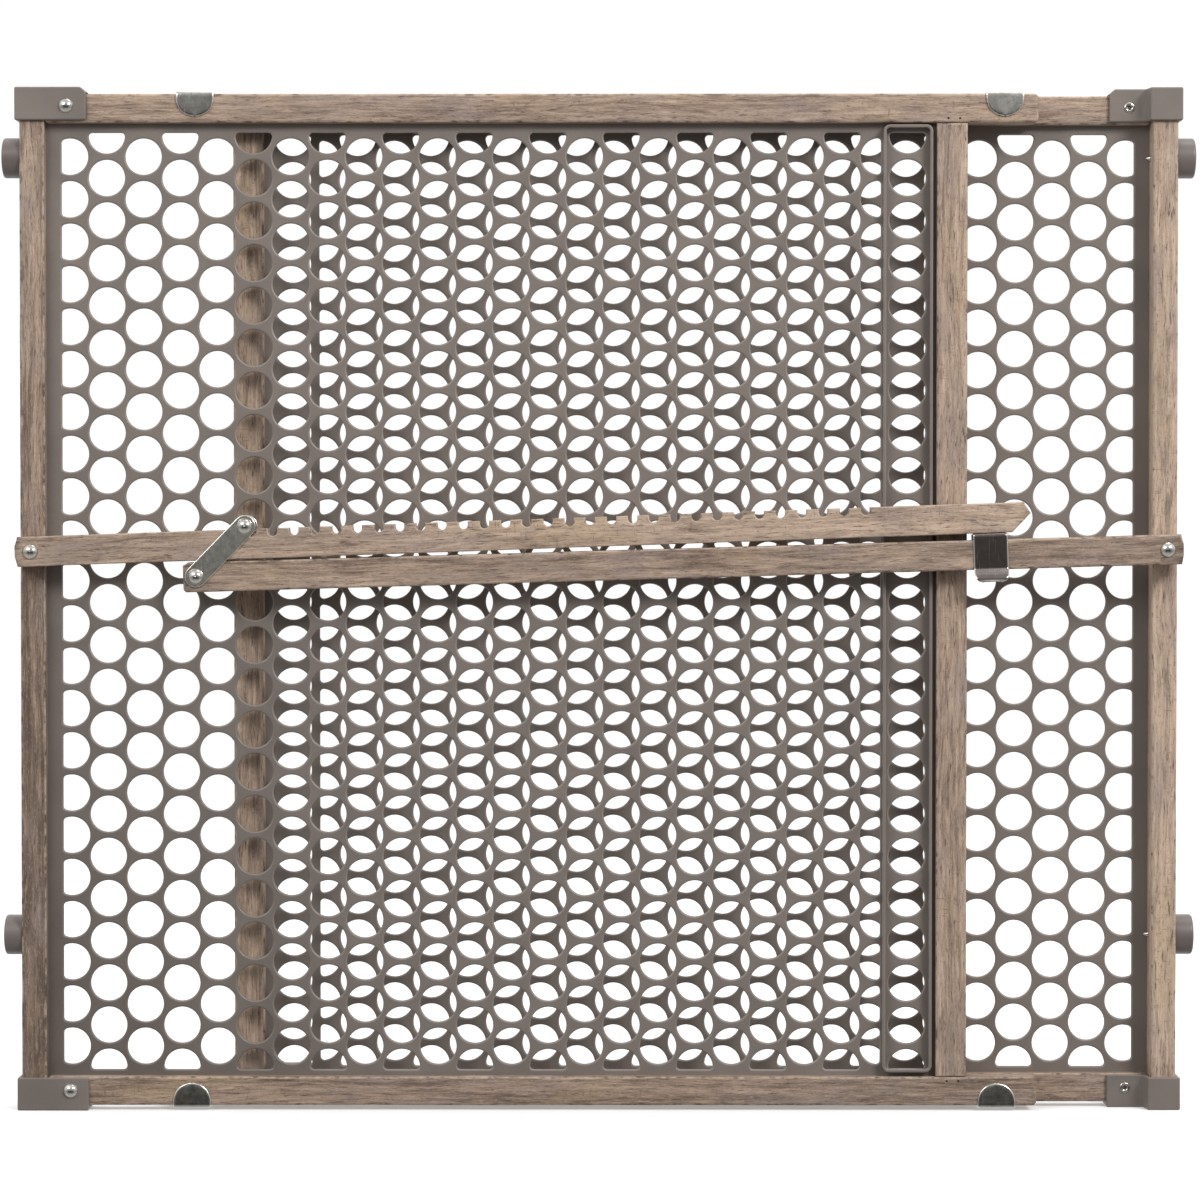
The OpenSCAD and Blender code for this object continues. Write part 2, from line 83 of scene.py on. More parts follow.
# Mesh, as the CAD has it
HOLE_R = 10.87 * MM
HOLE_PITCH = 25.4 * MM
COLUMN_PITCH = HOLE_PITCH * math.cos(math.radians(30))
FIRST_COLUMN = 316.5 * MM
COLUMNS = 23
MESH_T = 2.8 * MM
CHANNEL_RISE = 5.9 * MM
CHANNEL_WALL = 1.8 * MM

RIM_STEPS = 3    # segments over each rounded rim of a slab


def on_bar(joint, tilt):
    """Bar coordinates: x along the bar from its pivot, z across it, y as in the frame."""
    x, _, z = JOINT[joint]["pos_m"]
    return Matrix.Translation((x, 0, z)) @ Matrix.Rotation(-tilt, 4, "Y")


# ------------------------------------------------------------------ outlines, in x and z

def arc(cx, cz, r, start, stop, steps):
    """Points on an arc, angles in degrees, both ends included."""
    angles = [math.radians(start + (stop - start) * i / steps) for i in range(steps + 1)]
    return [(cx + r * math.cos(a), cz + r * math.sin(a)) for a in angles]


def circle(cx, cz, r, steps):
    return arc(cx, cz, r, 0, 360, steps)[:-1]


def round_box(x0, z0, x1, z1, r, steps=4):
    """Rectangle with round corners, anticlockwise. Its corners are square where r is 0."""
    if r == 0:
        return [(x0, z0), (x1, z0), (x1, z1), (x0, z1)]
    corners = ((x1 - r, z0 + r, -90), (x1 - r, z1 - r, 0), (x0 + r, z1 - r, 90), (x0 + r, z0 + r, 180))
    return [p for cx, cz, a in corners for p in arc(cx, cz, r, a, a + 90, steps)]


def finer(loop, step):
    """The same closed outline with no stretch longer than step."""
    out = []
    for i, (x, z) in enumerate(loop):
        nx, nz = loop[(i + 1) % len(loop)]
        n = max(1, round(math.hypot(nx - x, nz - z) / step))
        out += [(x + (nx - x) * k / n, z + (nz - z) * k / n) for k in range(n)]
    return out


def flat_hole(cx, cz, turn, flat, r=HOLE_R, corner=2.2 * MM, steps=22):
    """A round hole cut flat beyond its centre, on the side that turn (degrees) points to."""
    reach = math.sqrt((r - corner) ** 2 - (flat - corner) ** 2)
    lean = math.degrees(math.atan2(reach, flat - corner))
    points = arc(flat - corner, -reach, corner, -lean, 0, 4)
    points += arc(flat - corner, reach, corner, 0, lean, 4)
    points += arc(0, 0, r, lean, 360 - lean, steps)[1:-1]
    c, s = math.cos(math.radians(turn)), math.sin(math.radians(turn))
    return [(cx + x * c - z * s, cz + x * s + z * c) for x, z in points]


# ------------------------------------------------------------------ solids

def inward(loop):
    """For each point, the mitred direction to the left of the outline, into the material."""
    out = []
    for i, (x, z) in enumerate(loop):
        px, pz = loop[i - 1]
        nx, nz = loop[(i + 1) % len(loop)]
        a = Vector((pz - z, x - px)).normalized()
        b = Vector((z - nz, nx - x)).normalized()
        mid = a + b
        if mid.length < 1e-6:
            mid = a
        mid.normalize()
        out.append(mid / max(0.5, mid.dot(a)))
    return out


def inside(x, z, loop):
    """Whether a point lies inside a closed outline."""
    hit = False
    for i, (x0, z0) in enumerate(loop):
        x1, z1 = loop[i - 1]
        if (z0 > z) != (z1 > z) and x < x0 + (z - z0) * (x1 - x0) / (z1 - z0):
            hit = not hit
    return hit


def fill(loops):
    """Triangles between the outer outline, loops[0], and the holes, loops[1:]."""
    points, edges, owner = [], [], []
    for number, loop in enumerate(loops):
        first = len(points)
        points += [Vector(p) for p in loop]
        edges += [(first + i, first + (i + 1) % len(loop)) for i in range(len(loop))]
        owner += [number] * len(loop)
    _, _, faces, origin, _, _ = delaunay_2d_cdt(points, edges, [], 0, 1e-9)
    triangles = []
    for face in faces:
        corners = [origin[v][0] for v in face]
        owners = {owner[v] for v in corners}
        if len(owners) == 1:
            if owners != {0}:
                continue
            x, z = (sum(points[v][k] for v in corners) / 3 for k in (0, 1))
            if not inside(x, z, loops[0]):
                continue
        triangles.append(corners)
    return triangles


def rim_rings(points, pulls, radii, y0, y1):
    """Rings of points from the face at y0, over both rounded rims, to the face at y1."""
    quarter = [math.radians(90 * k / RIM_STEPS) for k in range(RIM_STEPS + 1)]
    rings = []
    for y, side, angles in ((y0, 1, quarter), (y1, -1, quarter[::-1])):
        for angle in angles:
            inset, rise = 1 - math.sin(angle), side * (1 - math.cos(angle))
            rings.append([(x + p.x * r * inset, y + r * rise, z + p.y * r * inset)
                          for (x, z), p, r in zip(points, pulls, radii)])
    return rings


def slab_faces(loops, rings):
    """Quads between the rings of points, and triangles over the front and the back."""
    count = len(rings[0])
    faces, rims, start = [], [], 0
    for loop in loops:
        for i in range(len(loop)):
            a, b = start + i, start + (i + 1) % len(loop)
            for ring in range(len(rings) - 1):
                low, high = ring * count, (ring + 1) * count
                faces.append((low + a, high + a, high + b, low + b))
        rims.append([(x, z) for x, _, z in rings[0][start:start + len(loop)]])
        start += len(loop)
    last = (len(rings) - 1) * count
    for a, b, c in fill(rims):
        faces += [(a, b, c), (last + a, last + c, last + b)]
    return faces


def slab(name, outer, holes, y0, y1, rounding, place=HERE):
    """A plate over y0 to y1 with rounded rims. rounding(x, z) is the rim's radius at a point."""
    loops = [outer] + [hole[::-1] for hole in holes]
    flat = [p for loop in loops for p in loop]
    pulls = [v for loop in loops for v in inward(loop)]
    rings = rim_rings(flat, pulls, [rounding(x, z) for x, z in flat], y0, y1)
    count, last = len(flat), len(rings) - 1
    mesh = bpy.data.meshes.new(name)
    mesh.from_pydata([place @ Vector(v) for ring in rings for v in ring], [], slab_faces(loops, rings))
    mesh.shade_smooth()
    for edge in mesh.edges:
        a, b = (v // count for v in edge.vertices)
        edge.use_edge_sharp = a == b and a in (0, last)
    # Rim mask: real chips on the wood, a painted highlight on the plastic and metal rims.
    rim_mask = [math.sin(math.pi * min(r, last - r) / RIM_STEPS) for r in range(last + 1)]
    mark(mesh, "wear_and_sheen", [w for w in rim_mask for _ in range(count)])
    return add_object(name, mesh)


def add_object(name, data):
    made = bpy.data.objects.new(name, data)
    bpy.context.scene.collection.objects.link(made)
    return made


def mark(mesh, name, values):
    """Stores one number, or one vector, per vertex under a name that a material can read."""
    vector = isinstance(values[0], (tuple, list, Vector))
    layer = mesh.attributes.new(name, "FLOAT_VECTOR" if vector else "FLOAT", "POINT")
    if vector:
        layer.data.foreach_set("vector", [x for v in values for x in v])
    else:
        layer.data.foreach_set("value", values)


def stand_for(piece, node):
    """The piece rides with the CAD node that it replaces, which is hidden."""
    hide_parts(node)
    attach(piece, BODY_OF[node])


# ------------------------------------------------------------------ materials

class Nodes:
    """Short forms for building a material's node tree."""

    def __init__(self, name):
        self.material = bpy.data.materials.new(name)
        self.material.use_nodes = True
        self.tree = self.material.node_tree
        self.shader = self.tree.nodes["Principled BSDF"]

    def node(self, kind, **inputs):
        made = self.tree.nodes.new(kind)
        for key, value in inputs.items():
            self.feed(made.inputs[key.replace("_", " ")], value)
        return made

    def feed(self, socket, value):
        if isinstance(value, bpy.types.NodeSocket):
            self.tree.links.new(value, socket)
        else:
            socket.default_value = value

    def scaled(self, vector, scale):
        made = self.node("ShaderNodeVectorMath")
        made.operation = "MULTIPLY"
        self.feed(made.inputs[0], vector)
        self.feed(made.inputs[1], scale)
        return made.outputs[0]

    def noise(self, vector, scale, detail=3.0, roughness=0.55):
        made = self.node("ShaderNodeTexNoise", Vector=self.scaled(vector, scale), Scale=1.0,
                         Detail=detail, Roughness=roughness)
        return made.outputs["Fac"]

    def math(self, kind, a, b, clamp=False):
        made = self.node("ShaderNodeMath")
        made.operation = kind
        made.use_clamp = clamp
        self.feed(made.inputs[0], a)
        self.feed(made.inputs[1], b)
        return made.outputs[0]

    def span(self, value, low, high, to_low=0.0, to_high=1.0):
        made = self.node("ShaderNodeMapRange", Value=value)
        ends = {"From Min": low, "From Max": high, "To Min": to_low, "To Max": to_high}
        for key, number in ends.items():
            made.inputs[key].default_value = number
        return made.outputs[0]

    def mix(self, factor, a, b):
        made = self.tree.nodes.new("ShaderNodeMix")
        made.data_type = "RGBA"
        self.feed(made.inputs["Factor"], factor)
        self.feed(made.inputs[6], a)
        self.feed(made.inputs[7], b)
        return made.outputs[2]

    def bump(self, height, distance, strength=1.0, under=None):
        made = self.node("ShaderNodeBump", Height=height, Distance=distance, Strength=strength)
        if under is not None:
            self.feed(made.inputs["Normal"], under)
        return made.outputs[0]

    def attribute(self, name, output):
        made = self.tree.nodes.new("ShaderNodeAttribute")
        made.attribute_name = name
        return made.outputs[output]

    def place(self):
        return self.tree.nodes.new("ShaderNodeTexCoord").outputs["Object"]

    def finish(self, **inputs):
        for key, value in inputs.items():
            self.feed(self.shader.inputs[key.replace("_", " ")], value)
        return self.material


def rgb(r, g, b):
    return (r, g, b, 1.0)


def wood_material():
    """Weathered grey-brown stain; the grain runs along x of the "grain" coordinates."""
    n = Nodes("stained_wood")
    grain = n.attribute("grain", "Vector")
    tone = n.attribute("tone", "Fac")
    wear_and_sheen = n.attribute("wear_and_sheen", "Fac")

    wavy = wavy_grain(n, grain)

    fibre = n.noise(wavy, (48, 640, 640), 5.0, 0.68)
    streak = n.noise(wavy, (16, 330, 330), 3.0, 0.6)
    band = n.noise(wavy, (5, 85, 85), 2.0, 0.5)
    smoke = n.noise(wavy, (34, 150, 150), 5.0, 0.66)
    patch = n.noise(grain, (12, 40, 40), 3.0, 0.6)
    mauve = n.noise(grain, (17, 55, 90), 3.0, 0.6)
    tick = n.noise(wavy, (110, 1050, 1050), 3.0, 0.6)
    speck = n.noise(wavy, (420, 1500, 1500), 2.0, 0.7)
    cross = n.noise(grain, (900, 160, 160), 3.0, 0.6)

    level = n.math("ADD", n.span(fibre, 0.30, 0.70, -0.34, 0.34), n.span(streak, 0.32, 0.68, -0.17, 0.17))
    level = n.math("ADD", level, n.span(band, 0.35, 0.65, -0.11, 0.11))
    level = n.math("ADD", level, n.math("ADD", tone, 0.52))
    ramp = n.node("ShaderNodeValToRGB", Fac=level)
    stops = ramp.color_ramp.elements
    stops[0].position, stops[0].color = 0.0, rgb(0.115, 0.080, 0.060)
    stops[1].position, stops[1].color = 1.0, rgb(0.605, 0.455, 0.342)
    for position, colour in ((0.28, rgb(0.225, 0.160, 0.120)), (0.52, rgb(0.365, 0.264, 0.196)),
                             (0.76, rgb(0.474, 0.350, 0.266))):
        stops.new(position).color = colour
    colour = ramp.outputs["Color"]
    tints = ((patch, 0.56, 0.68, 0.40, (0.500, 0.365, 0.225)),
             (patch, 0.44, 0.34, 0.50, (0.250, 0.200, 0.170)),
             (mauve, 0.52, 0.66, 0.45, (0.315, 0.245, 0.225)),
             (smoke, 0.57, 0.72, 0.75, (0.120, 0.086, 0.068)),
             (tick, 0.585, 0.68, 0.80, (0.085, 0.058, 0.046)),
             (speck, 0.57, 0.72, 0.55, (0.120, 0.086, 0.068)),
             (speck, 0.43, 0.30, 0.40, (0.560, 0.435, 0.335)))
    for field, start, stop, most, tint in tints:
        colour = n.mix(n.span(field, start, stop, 0.0, most), colour, rgb(*tint))
    chatter = n.math("MULTIPLY", n.span(cross, 0.60, 0.70), n.span(patch, 0.47, 0.56))
    colour = n.mix(n.math("MULTIPLY", chatter, 0.5), colour, rgb(0.110, 0.078, 0.060))
    chip = n.noise(grain, (160, 160, 160), 3.0, 0.6)
    lightening = n.math("MULTIPLY", wear_and_sheen, n.span(chip, 0.42, 0.60, 0.0, 0.75), clamp=True)
    dark = n.math("MULTIPLY", wear_and_sheen, n.span(chip, 0.44, 0.34, 0.0, 0.85), clamp=True)
    colour = n.mix(lightening, colour, rgb(0.520, 0.415, 0.325))
    colour = n.mix(dark, colour, rgb(0.080, 0.058, 0.046))
    colour, hole = pin_holes(n, grain, colour)

    relief = n.math("SUBTRACT", n.math("MULTIPLY", fibre, 0.7), n.span(tick, 0.58, 0.7, 0.0, 0.5))
    relief = n.math("SUBTRACT", relief, n.math("ADD", hole, n.math("MULTIPLY", chatter, 0.25)))
    return n.finish(
        Base_Color=colour,
        Roughness=n.span(streak, 0.3, 0.7, 0.66, 0.52),
        Specular_IOR_Level=0.32,
        Normal=n.bump(relief, 0.3 * MM, 0.55),
    )


def wavy_grain(n, grain):
    """The grain's coordinates, moved across the grain by up to 5 mm to either side."""
    bend = n.noise(grain, (9, 30, 30), 2.0)
    shift = n.node("ShaderNodeCombineXYZ")
    n.feed(shift.inputs["Y"], n.span(bend, 0, 1, -5 * MM, 5 * MM))
    n.feed(shift.inputs["Z"], n.span(bend, 0, 1, 4 * MM, -4 * MM))
    moved = n.node("ShaderNodeVectorMath")
    moved.operation = "ADD"
    n.feed(moved.inputs[0], grain)
    n.feed(moved.inputs[1], shift.outputs[0])
    return moved.outputs[0]


def pin_holes(n, grain, colour):
    """Scattered dark worm holes about a millimetre wide. Gives the new colour and the holes' depth."""
    cells = n.node("ShaderNodeTexVoronoi", Vector=n.scaled(grain, (38, 52, 52)), Scale=1.0)
    chosen = n.node("ShaderNodeSeparateColor", Color=cells.outputs["Color"])
    near = n.span(cells.outputs["Distance"], 0.030, 0.018)
    hole = n.math("MULTIPLY", near, n.math("GREATER_THAN", chosen.outputs[0], 0.72))
    return n.mix(n.math("MULTIPLY", hole, 0.9), colour, rgb(0.030, 0.022, 0.018)), hole


def plastic_material(name, base, roughness):
    """Moulded plastic or rubber: fine matt grain, slightly uneven colour, a painted highlight on the rims and
    painted shade stored per vertex.
    """
    n = Nodes(name)
    here = n.place()
    cloud = n.noise(here, (24, 24, 24), 3.0)
    grain = n.noise(here, (1400, 1400, 1400), 2.0)
    wear_and_sheen = n.attribute("wear_and_sheen", "Fac")
    painted_shade = n.attribute("painted_shade", "Fac")
    flow = n.noise(here, (60, 60, 140), 3.0)
    dark = rgb(*(c * 0.86 for c in base))
    light = rgb(*(c * 1.14 for c in base))
    colour = n.mix(n.span(n.math("ADD", cloud, n.math("MULTIPLY", grain, 0.3)), 0.4, 0.9), dark, light)
    # Painted highlight: the rims are mixed towards a paler colour.
    colour = n.mix(n.math("MULTIPLY", wear_and_sheen, 0.35), colour, rgb(*(c * 1.9 for c in base)))
    # Painted shade: the colour is mixed towards a quarter of the base where the stored shade value is high.
    colour = n.mix(painted_shade, colour, rgb(*(c * 0.25 for c in base)))
    return n.finish(
        Base_Color=colour,
        Roughness=n.span(flow, 0.3, 0.7, roughness - 0.05, roughness + 0.07),
        Normal=n.bump(grain, 0.05 * MM, 0.35, n.bump(flow, 0.12 * MM, 0.25)),
    )


def nickel_material(name, base, roughness, mottling):
    """Plated steel: faint crystalline mottle, fine handling scratches, and a painted highlight on its rims and
    marked spots.
    """
    n = Nodes(name)
    here = n.place()
    wear_and_sheen = n.attribute("wear_and_sheen", "Fac")
    mottle = n.noise(here, (260, 260, 260), 4.0, 0.7)
    speck = n.noise(here, (1100, 1100, 1100), 2.0, 0.6)
    scratch = n.noise(here, (1500, 1500, 60), 2.0, 0.6)
    dull = rgb(*(c * (1 - mottling) for c in base))
    colour = n.mix(n.span(mottle, 0.35, 0.65), dull, rgb(*base))
    colour = n.mix(n.span(speck, 0.56, 0.70, 0.0, mottling), colour, rgb(*(c * 0.35 for c in base)))
    marks = n.math("MULTIPLY", n.span(scratch, 0.64, 0.72), 1.6 * mottling)
    # Handling scratches, and the painted highlight on the rims and marked spots, mixed towards near white.
    colour = n.mix(n.math("ADD", wear_and_sheen, marks, clamp=True), colour, rgb(0.90, 0.88, 0.83))
    rough = n.span(mottle, 0.3, 0.7, roughness * 0.85, roughness * 1.25)
    rub_and_sheen = n.math("ADD", n.span(scratch, 0.62, 0.75, 0.0, 0.10), n.math("MULTIPLY", wear_and_sheen, 0.12))
    return n.finish(
        Base_Color=colour,
        Metallic=1.0,
        Roughness=n.math("ADD", rough, rub_and_sheen),
        Normal=n.bump(mottle, 0.015 * MM, 0.1 + mottling),
    )


def dark_nail_material():
    """Rusty black steel of the frame nails."""
    n = Nodes("dark_nail")
    rust = n.noise(n.place(), (900, 900, 900), 3.0)
    return n.finish(
        Base_Color=n.mix(rust, rgb(0.035, 0.026, 0.022), rgb(0.075, 0.055, 0.045)),
        Metallic=0.6,
        Roughness=n.span(rust, 0.3, 0.7, 0.5, 0.75),
    )


WOOD = wood_material()
PLASTIC = plastic_material("taupe_plastic", (0.202, 0.170, 0.150), 0.43)
RUBBER = plastic_material("taupe_rubber", (0.160, 0.133, 0.124), 0.33)
NICKEL = nickel_material("nickel_plate", (0.59, 0.57, 0.52), 0.20, 0.26)
# A paler copy of the nickel plate, painted light for the front top guide and the link.
LIT_NICKEL_COPY = nickel_material("nickel_plate_painted_lit", (0.84, 0.82, 0.74), 0.20, 0.24)
SPRING_STEEL = nickel_material("spring_steel", (0.25, 0.208, 0.192), 0.12, 0.15)
POLISHED = nickel_material("nickel_rivet", (0.68, 0.66, 0.61), 0.11, 0.0)
DARK_NAIL = dark_nail_material()


# ------------------------------------------------------------------ wooden pieces

def ripple(x, z, seed, size):
    """Smooth noise, about -1 to 1, that varies over lengths of about size."""
    return noise.noise(Vector((x / size, z / size, seed * 7.31)))


def stain(v, ends, reach, depth):
    """Darkening of a piece near its ends, for a coordinate v along it."""
    return -depth * sum(max(0.0, 1 - abs(v - end) / reach) for end in ends)


def wooden(name, node, outline, y0, y1, along, seed, tone, place, edge=1.5 * MM):
    """A wooden piece with hand-worn edges. along is "x" or "z", the way the grain runs."""
    waver = 0.12 * MM
    rough = [(x + waver * ripple(x, z, seed, 21 * MM), z + waver * ripple(x, z, seed + 5, 17 * MM))
             for x, z in finer(outline, 6 * MM)]
    piece = slab(name, rough, [], y0, y1,
                 lambda x, z: edge * (1 + 0.45 * ripple(x, z, seed + 9, 14 * MM)), place)
    back = place.inverted()
    local = [back @ v.co for v in piece.data.vertices]
    offset = Vector((seed * 1.37, seed * 0.71, seed * 0.43))
    if along == "x":
        grain = [Vector((v.x, v.z, v.y)) + offset for v in local]
    else:
        grain = [Vector((v.z, v.x, v.y)) + offset for v in local]
    mark(piece.data, "grain", grain)
    level = tone if callable(tone) else lambda v: tone
    mark(piece.data, "tone", [level(v) for v in local])
    piece.data.materials.append(WOOD)
    stand_for(piece, node)
    return piece


def frame_wood(panel, place, seed, tones):
    """The two rails and two stiles of a panel, drawn as the front one and put in place."""
    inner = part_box("front_inner_stile")
    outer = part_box("front_outer_stile")
    for part, (low, high) in (("top_rail", RAIL_TOP), ("bottom_rail", RAIL_LOW)):
        seed += 1
        wooden(f"{panel}_{part}_wood", f"{panel}_{part}",
               round_box(low[0], low[2], high[0], high[2], 2.6 * MM, 3), low[1], high[1], "x", seed,
               tones[part], place)
    window_low, window_high = RAIL_LOW[1][2], RAIL_TOP[0][2]
    wooden(f"{panel}_inner_stile_wood", f"{panel}_inner_stile",
           round_box(inner[0][0], window_low + 0.2 * MM, inner[1][0], window_high - 0.2 * MM, 0),
           inner[0][1] + 0.1 * MM, inner[1][1], "z", seed + 1, tones["inner_stile"], place, edge=1.2 * MM)
    wooden(f"{panel}_outer_stile_wood", f"{panel}_outer_stile",
           round_box(outer[0][0], outer[0][2], outer[1][0], outer[1][2], 0),
           outer[0][1], outer[1][1], "z", seed + 2, tones["outer_stile"], place, edge=1.4 * MM)


def notched_outline():
    """The notched bar in its own x and z, anticlockwise, with its row of round-bottomed notches."""
    half = BAR_H / 2
    top = [(NOTCHED_TIP - 4 * MM, half)]
    for i in reversed(range(NOTCH_COUNT)):
        x = FIRST_NOTCH + i * NOTCH_PITCH
        floor_z = half - NOTCH_DEPTH + NOTCH_R
        top.append((x + NOTCH_R, half))
        top += arc(x, floor_z, NOTCH_R, 0, -180, 8)
        top.append((x - NOTCH_R, half))
    bottom = [(-NOTCHED_END, -half), (NOTCHED_SHOULDER, -half), (NOTCHED_TIP, 2.2 * MM)]
    return bottom + top + [(-NOTCHED_END, half)]


def locking_outline():
    """The locking bar in its own x and z, anticlockwise, with the corners of its free end cut off."""
    half = BAR_H / 2
    end = -LOCKING_LENGTH
    return [(end, -half + 1.5 * MM), (end + 1.5 * MM, -half), (LOCKING_END, -half),
            (LOCKING_END, half), (end + 3.5 * MM, half), (end, half - 2 * MM)]


def sand_end(piece, place, direction):
    """Rounds over the front edge of a bar's pivot end to a cone about a point on the bar."""
    cone_r, cone_d = 18 * MM, 3 * MM
    centre_x = direction * (cone_r - 9 * MM)
    back = place.inverted()
    for vertex in piece.data.vertices:
        p = back @ vertex.co
        depth = p.y - BAR_FRONT_Y
        if depth < cone_d and (p.x - centre_x) * direction < 0:
            reach = math.hypot(p.x - centre_x, p.z)
            limit = cone_r + depth
            if reach > limit:
                p.x = centre_x - direction * math.sqrt(max(0, limit ** 2 - p.z ** 2))
                vertex.co = place @ p


def notched_tone(v):
    """Paler towards the free end, dark at both cut ends."""
    return 0.08 + 0.20 * (v.x / 0.6) + stain(v.x, [-NOTCHED_END, NOTCHED_TIP], 7 * MM, 0.35)


def locking_tone(v):
    return -0.08 + stain(v.x, [-LOCKING_LENGTH, LOCKING_END], 7 * MM, 0.35)


def bars():
    """The two bars, each drawn in its own bar coordinates and put in place."""
    place = on_bar("notched_bar_lift", NOTCHED_TILT)
    piece = wooden("notched_bar_wood", "notched_bar", notched_outline(), BAR_FRONT_Y, BAR_BACK_Y, "x", 31,
                   notched_tone, place, edge=0.8 * MM)
    sand_end(piece, place, 1)
    place = on_bar("locking_bar_level", LOCKING_TILT)
    piece = wooden("locking_bar_wood", "locking_bar", locking_outline(), BAR_FRONT_Y, BAR_BACK_Y, "x", 37,
                   locking_tone, place, edge=1.2 * MM)
    sand_end(piece, place, -1)


def front_stile_tone(v):
    """Much darker at the foot than at the head, partly the wood's stain and partly painted shade, and stained
    against the caps.
    """
    return -0.42 + 0.45 * v.z + 0.72 * v.z ** 2 + stain(v.z, [CAP_LOW_Z, CAP_TOP_Z], 14 * MM, 0.2)


# Lighter than the front outer stile: partly the wood's own tone, partly painted light from the right.
def rear_stile_tone(v):
    return 0.27 + 0.03 * v.z + stain(v.z, [CAP_LOW_Z, CAP_TOP_Z], 12 * MM, 0.2)


frame_wood("front", HERE, 1, {
    "top_rail": lambda v: 0.12 * v.x,
    # Painted shade: the bottom rail is toned darker than the top rail.
    "bottom_rail": -0.13,
    # The front inner stile darkens towards the foot: partly stain, partly painted shade.
    "inner_stile": lambda v: 0.07 + 0.11 * v.z,
    "outer_stile": front_stile_tone,
})
frame_wood("rear", HALF_TURN, 11, {
    "top_rail": 0.06,
    # Painted shade: the bottom rail is toned darker than the top rail.
    "bottom_rail": -0.14,
    "inner_stile": 0.10,
    "outer_stile": rear_stile_tone,
})
bars()


# ------------------------------------------------------------------ mesh panels

def hole_outlines():
    """Every hole of the front mesh: round ones in a hexagonal pack, flat-sided ones along its border."""
    middle_z = 304.5 * MM
    steps = 32
    outlines = []

    def whole_pitch_column(x):
        outlines.extend(circle(x, middle_z + row * HOLE_PITCH, HOLE_R, steps) for row in range(-10, 11))
        outlines.append(flat_hole(x, middle_z + 11 * HOLE_PITCH, 90, 1.4 * MM))
        outlines.append(flat_hole(x, middle_z - 11 * HOLE_PITCH, -90, 1.4 * MM))

    for k in range(COLUMNS):
        x = -FIRST_COLUMN + k * COLUMN_PITCH
        if k % 2:
            whole_pitch_column(x)
            continue
        for row in range(22):
            z = middle_z + (row - 10.5) * HOLE_PITCH
            if k == 0:
                outlines.append(flat_hole(x, z, 180, 5.1 * MM))
            elif k == COLUMNS - 1:
                outlines.append(flat_hole(x, z, 0, 1.1 * MM))
            else:
                outlines.append(circle(x, z, HOLE_R, steps))
    low_x, high_x, _, _ = channel_box()
    whole_pitch_column((low_x + high_x) / 2)
    return outlines


def channel_box():
    """The raised channel's x from and to, and its z from and to."""
    return 169.7 * MM, 199.3 * MM, RAIL_LOW[1][2] + 2.5 * MM, RAIL_TOP[0][2] - 1 * MM


def join(pieces):
    """One object from several, under the first one's name."""
    with bpy.context.temp_override(active_object=pieces[0], selected_editable_objects=pieces,
                                   selected_objects=pieces):
        bpy.ops.object.join()
    return pieces[0]


def mesh_panel(panel, place, painted_shade):
    """The perforated sheet with its raised channel, moulded in one. The third argument gives, for x and z, how
    much painted shade darkens it.
    """
    tuck = 4 * MM
    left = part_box("front_outer_stile")[1][0] - tuck
    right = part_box("front_inner_stile")[0][0] + tuck
    border = round_box(left, RAIL_LOW[1][2] - tuck, right, RAIL_TOP[0][2] + tuck, 1 * MM, 2)
    y0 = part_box("front_mesh")[1][1] - MESH_T
    sheet = slab(f"{panel}_mesh_sheet", border, hole_outlines(), y0, y0 + MESH_T,
                 lambda x, z: 0.95 * MM, place)
    x0, x1, z0, z1 = channel_box()
    w = CHANNEL_WALL
    channel = slab(f"{panel}_mesh_channel", round_box(x0, z0, x1, z1, 4 * MM, 6),
                   [round_box(x0 + w, z0 + w, x1 - w, z1 - w, 4 * MM - w, 6)],
                   y0 - CHANNEL_RISE, y0 + 0.6 * MM, lambda x, z: 0.5 * MM, place)
    piece = join([sheet, channel])
    # Painted shade stored per vertex, darker low down.
    mark(piece.data, "painted_shade", [painted_shade(v.co.x, v.co.z) for v in piece.data.vertices])
    piece.data.materials.append(PLASTIC)
    stand_for(piece, f"{panel}_mesh")


def low_down(z):
    """1 at the floor, falling to 0 at about two thirds of the gate's height."""
    return max(0.0, 1 - z / 0.42)


def painted_foot_shade(x, z):
    """Painted shade low down, deepest beside the outer stile on the left."""
    return low_down(z) * (0.09 + 0.46 * max(0.0, 1 - (x + 0.34) / 0.22))


mesh_panel("front", HERE, painted_foot_shade)
# The rear sheet gets a light painted shade towards the floor.
mesh_panel("rear", HALF_TURN, lambda x, z: 0.08 * low_down(z))


# ------------------------------------------------------------------ bent plate

def strip_path(points, r, steps=5):
    """Points along a polyline in y and z whose corners are bent to radius r."""
    path = [Vector(points[0])]
    for a, b, c in zip(points, points[1:], points[2:]):
        a, b, c = Vector(a), Vector(b), Vector(c)
        u, v = (a - b).normalized(), (c - b).normalized()
        half = u.angle(v) / 2
        reach = r / math.tan(half)
        centre = b + (u + v).normalized() * (r / math.sin(half))
        start, stop = b + u * reach - centre, b + v * reach - centre
        turn = start.angle_signed(stop)
        path += [centre + Matrix.Rotation(-turn * k / steps, 2) @ start for k in range(steps + 1)]
    path.append(Vector(points[-1]))
    return path


def dense_path(points, r, step):
    """Points about step apart along a bent path, and the arc length at each."""
    corners = strip_path(points, r)
    path = [corners[0]]
    for a, b in zip(corners, corners[1:]):
        n = max(1, round((b - a).length / step))
        path += [a.lerp(b, (k + 1) / n) for k in range(n)]
    spans = [0.0]
    for a, b in zip(path, path[1:]):
        spans.append(spans[-1] + (b - a).length)
    return path, spans


def thicken(sheet, thickness):
    """Gives a bare sheet its thickness and a rounded rim."""
    solid = sheet.modifiers.new("thickness", "SOLIDIFY")
    solid.thickness = thickness
    solid.offset = 0
    bevel = sheet.modifiers.new("rim", "BEVEL")
    bevel.width = thickness * 0.4
    bevel.segments = 3
    bevel.limit_method = "ANGLE"
    bevel.angle_limit = math.radians(50)


